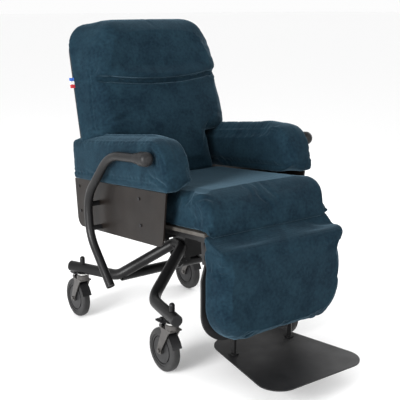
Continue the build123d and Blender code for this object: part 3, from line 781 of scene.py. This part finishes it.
armRight = armVelvet("arm_velvet_right", -1, armPad, [
    {"path": [(-0.309, -0.275, 0.236), (-0.309, -0.300, 0.226), (-0.302, -0.335, 0.214)],
     "depth": 0.006, "width": 0.007},
    {"path": [(-0.309, -0.235, 0.250), (-0.310, -0.262, 0.238), (-0.309, -0.290, 0.232)],
     "depth": 0.004, "width": 0.006},
    {"path": [(-0.300, -0.338, 0.240), (-0.285, -0.345, 0.222), (-0.272, -0.342, 0.204)],
     "depth": 0.006, "width": 0.006},
    {"path": [(-0.309, -0.262, 0.326), (-0.309, -0.276, 0.300), (-0.308, -0.290, 0.270)],
     "depth": 0.003, "width": 0.008},
    {"path": [(-0.309, -0.215, 0.330), (-0.310, -0.235, 0.300), (-0.310, -0.245, 0.275)],
     "depth": 0.0025, "width": 0.010},
    {"path": [(-0.309, 0.10, 0.225), (-0.310, 0.05, 0.232), (-0.309, -0.03, 0.226)],
     "depth": 0.003, "width": 0.010},
    {"path": [(-0.309, 0.19, 0.232), (-0.310, 0.13, 0.222), (-0.309, 0.09, 0.215)],
     "depth": 0.003, "width": 0.007}])
upholstered(armRight, "seat_unit", ["arm_pad_right"])
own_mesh(armRight)
armLeft = armVelvet("arm_velvet_left", 1, armPad, [
    {"path": [(0.211, 0.02, 0.205), (0.2105, 0.05, 0.232), (0.211, 0.09, 0.245)],
     "depth": 0.005, "width": 0.008},
    {"path": [(0.211, -0.01, 0.203), (0.2105, 0.01, 0.222), (0.211, 0.04, 0.236)],
     "depth": 0.004, "width": 0.006},
    {"path": [(0.309, -0.27, 0.236), (0.309, -0.300, 0.226), (0.302, -0.335, 0.214)],
     "depth": 0.005, "width": 0.007},
    {"path": [(0.300, -0.338, 0.240), (0.285, -0.345, 0.222), (0.272, -0.342, 0.204)],
     "depth": 0.004, "width": 0.006},
    {"path": [(0.309, -0.262, 0.326), (0.309, -0.276, 0.300), (0.308, -0.290, 0.270)],
     "depth": 0.0025, "width": 0.008},
    {"path": [(0.309, 0.14, 0.235), (0.310, 0.06, 0.228), (0.309, -0.01, 0.232)],
     "depth": 0.003, "width": 0.010}])
upholstered(armLeft, "seat_unit", ["arm_pad_left"])
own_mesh(armLeft)
seatCushion(seatPad)
backUpholstery(backPad)


calfPad = {"half": 0.268, "shoulder": 0.252, "top": -0.018, "bottom": -0.328, "corner": 0.128,
           "near": -0.010, "far": -0.100, "voxel": 0.006}


def calfVelvet(size):
    half, top, bottom = size["half"], size["top"], size["bottom"]
    corners = [(-size["shoulder"], top), (size["shoulder"], top), (half, top - 0.085), (half, bottom),
               (-half, bottom), (-half, top - 0.085)]
    outline = roundedOutline(corners, (0.016, 0.016, 0.06, size["corner"], size["corner"], 0.06), 190)
    rim = 0.007 + 0.033 * smoothStep(top - 0.01, top - 0.07, outline[:, 1])
    obj = slab("legrest_velvet", outline, rim, size["near"], size["far"], 0.004, "y", legUnit)
    remeshed(obj, size["voxel"])

    def give(places):
        local = toUnit(places, legUnit)
        return smoothStep(0.016, 0.06, -local[:, 1]) * smoothStep(-0.022, -0.07, local[:, 2])
    inflated(obj, 4.0, 0.014, give)
    refined(obj, 1)
    places = toUnit(vertexPlaces(obj.data), legUnit)
    x, y, z = places.T
    y = np.maximum(y, -0.1085)
    moveVertices(obj.data, toWorld(np.stack([x, y, z], -1), legUnit))
    creased(obj, legUnit, [
        {"path": [(-0.262, -0.05, -0.085), (-0.248, -0.08, -0.088), (-0.215, -0.10, -0.086)],
         "depth": 0.005, "width": 0.006},
        {"path": [(-0.252, -0.075, -0.078), (-0.246, -0.085, -0.092)], "depth": 0.004, "width": 0.005},
        {"path": [(-0.12, -0.07, -0.336), (-0.128, -0.085, -0.325), (-0.130, -0.097, -0.310)],
         "depth": 0.005, "width": 0.007},
        {"path": [(-0.165, -0.07, -0.322), (-0.172, -0.085, -0.312), (-0.178, -0.095, -0.296)],
         "depth": 0.004, "width": 0.007},
        {"path": [(-0.08, -0.07, -0.340), (-0.085, -0.085, -0.330), (-0.086, -0.097, -0.316)],
         "depth": 0.004, "width": 0.007},
        {"path": [(0.155, -0.06, -0.332), (0.160, -0.085, -0.318), (0.162, -0.10, -0.300)],
         "depth": 0.006, "width": 0.008},
        {"path": [(0.19, -0.06, -0.315), (0.198, -0.085, -0.300), (0.204, -0.098, -0.284)],
         "depth": 0.004, "width": 0.007},
        {"path": [(0.25, -0.10, -0.045), (0.19, -0.106, -0.060), (0.10, -0.107, -0.064)],
         "depth": 0.003, "width": 0.012},
        {"path": [(-0.235, -0.10, -0.12), (-0.245, -0.095, -0.18), (-0.24, -0.097, -0.25)],
         "depth": -0.0015, "width": 0.012}])
    return upholstered(obj, "legrest", ["legrest_pad"])


calfVelvet(calfPad)


kneeFlap = {"half": 0.251, "crease": (0.002, 0.016), "nose": (-0.1045, -0.022), "hem": (-0.092, -0.060),
            "heel": (-0.022, -0.040), "edge": 0.008}


def kneeVelvet(size):
    # a wedge from under the seat's nose to the calf pad's front edge: its section is carried across the chair
    corners = [size["heel"], size["hem"], size["nose"],
               (size["crease"][0] - 0.012, size["crease"][1]), (-0.004, 0.006)]
    section = roundedOutline(corners, (0.005, 0.002, 0.020, 0.003, 0.003), 110)
    place = np.concatenate([-size["half"] + size["edge"] * (1 - np.cos(np.linspace(0, 1, 7) * math.pi / 2)),
                            np.linspace(-size["half"] + size["edge"], size["half"] - size["edge"], 41),
                            size["half"] - size["edge"] * (1 - np.sin(np.linspace(0, 1, 7) * math.pi / 2))])
    shrink = np.concatenate([0.86 + 0.14 * np.sin(np.linspace(0, 1, 7) * math.pi / 2), np.ones(41),
                             0.86 + 0.14 * np.cos(np.linspace(0, 1, 7) * math.pi / 2)])
    middle = section.mean(0)
    ring = middle + (section - middle) * shrink[:, None, None]
    x = np.broadcast_to(place[:, None], ring.shape[:2])
    y, z = ring[..., 0], ring[..., 1]
    onSlope = smoothStep(0.0, 0.012, z - (-0.019)) * smoothStep(-0.012, -0.03, y)
    sag = 0.004 * np.sin(x * 21 + 1) * bump(y, -0.055, 0.03) - 0.005 * bump(y, -0.05, 0.03)
    fold = -0.007 * bump(z + 0.10 * (x - 0.247) + 0.005, 0.004, 0.006) * smoothStep(0.12, 0.2, x)
    points = np.stack([x, y, z + (sag + fold) * onSlope], -1)
    obj = facingOut(meshObject("knee_velvet", points, ringFaces(len(place), 110), legUnit))
    refined(obj, 1)
    obj.data.materials.append(velvet)
    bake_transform(obj)
    return obj


kneeVelvet(kneeFlap)
print("upholstery ready")


# ---- trim

ribbonTab = {"side": -0.2975, "behind": 0.0120, "low": 0.302, "high": 0.338, "reach": 0.0125, "thick": 0.0012}


def ribbonPiece(size):
    # a short ribbon folded over and caught between cushion and shell
    z = np.linspace(size["low"], size["high"], 20)
    fold = np.array([(0, -0.5), (0.7, -0.62), (1.0, 0), (0.7, 0.62), (0, 0.5), (-0.6, 0.3), (-0.6, -0.3)])
    wave = 0.0008 * np.sin(z * 160)[:, None]
    x = size["side"] - fold[:, 0] * size["reach"] + wave
    y = size["behind"] + fold[:, 1] * size["thick"] * 2 + wave
    points = np.stack([x, y, np.broadcast_to(z[:, None], x.shape)], -1)
    obj = facingOut(meshObject("ribbon_tab", points, ringFaces(20, len(fold)), backUnit))
    low = toWorld((size["side"], size["behind"], size["low"]), backUnit)[2]
    high = toWorld((size["side"], size["behind"], size["high"]), backUnit)[2]
    obj.data.materials.append(ribbonMaterial("ribbon", low, high))
    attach(obj, "back")
    return obj


ribbonPiece(ribbonTab)

guard = {"half": 0.0185, "thick": 0.0022, "inner": 0.0775, "from": 18, "to": 74}


def castorTrim(place):
    # a black mudguard arc over the tread, on the side of the swivel
    stem = np.array(joints["caster_swivel_" + place]["pos_m"])
    axle = np.array(joints["wheel_roll_" + place]["pos_m"])
    toStem = np.sign(stem[1] - axle[1])
    turn = np.radians(np.linspace(guard["from"], guard["to"], 26))
    ring = np.array([(-guard["half"], 0), (guard["half"], 0),
                     (guard["half"], guard["thick"]), (-guard["half"], guard["thick"])])
    radius = guard["inner"] + ring[:, 1][None, :]
    y = axle[1] + toStem * radius * np.cos(turn)[:, None]
    z = axle[2] + radius * np.sin(turn)[:, None]
    x = axle[0] + np.broadcast_to(ring[:, 0][None, :], y.shape)
    cover = facingOut(meshObject("mudguard_" + place, np.stack([x, y, z], -1), ringFaces(26, 4)))
    cover.data.materials.append(blackPlastic)
    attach(cover, "caster_" + place)


for place in ("front_right", "front_left", "rear_right", "rear_left"):
    castorTrim(place)
print("trim ready")


# ---- stage, lights and camera

def stageFloor():
    points = np.array([(-90, -90, -0.0008), (90, -90, -0.0008), (90, 90, -0.0008), (-90, 90, -0.0008)])
    floor = meshObject("studio_floor", points, [[0, 1, 2, 3]])
    material = bpy.data.materials.new("pale floor")
    material.use_nodes = True
    shader = material.node_tree.nodes["Principled BSDF"]
    shader.inputs["Base Color"].default_value = (0.97, 0.97, 0.97, 1)
    shader.inputs["Roughness"].default_value = 0.9
    floor.data.materials.append(material)


def areaLight(name, place, target, size, power, colour=(1, 1, 1)):
    data = bpy.data.lights.new(name, "AREA")
    data.shape = "RECTANGLE"
    data.size, data.size_y = size
    data.energy = power
    data.color = colour
    light = bpy.data.objects.new(name, data)
    light.location = place
    away = np.array(place, float) - np.array(target, float)
    tip = math.acos(away[2] / np.linalg.norm(away))
    light.rotation_euler = (tip, 0, math.atan2(away[1], away[0]) + math.pi / 2)
    bpy.context.scene.collection.objects.link(light)
    return light


stageFloor()
areaLight("key_softbox", (-3.8, -1.0, 1.3), (0, 0, 0.5), (1.6, 2.0), 260)
areaLight("front_softbox", (0.4, -4.2, 1.1), (0, 0, 0.4), (2.4, 1.4), 55)
areaLight("rim_softbox", (3.2, 0.8, 1.6), (0, 0, 0.6), (1.6, 1.6), 40)
areaLight("top_softbox", (0.4, 0.6, 3.6), (0, 0, 0.4), (2.0, 2.0), 6)
world = bpy.data.worlds.new("studio")
world.use_nodes = True
world.node_tree.nodes["Background"].inputs["Color"].default_value = (1, 1, 1, 1)
world.node_tree.nodes["Background"].inputs["Strength"].default_value = 0.98
bpy.context.scene.world = world
bpy.context.scene.view_settings.view_transform = "Standard"

view = {"place": (-1.615, -2.136, 1.185), "down": 0.2417, "round": 0.6346, "lens": 71.61}
camera = bpy.data.objects.new("camera", bpy.data.cameras.new("camera"))
camera.location = view["place"]
camera.rotation_euler = (math.pi / 2 - view["down"], 0, -view["round"])
camera.data.lens = view["lens"]
camera.data.sensor_width = 36
bpy.context.scene.collection.objects.link(camera)
bpy.context.scene.camera = camera
print("stage ready")
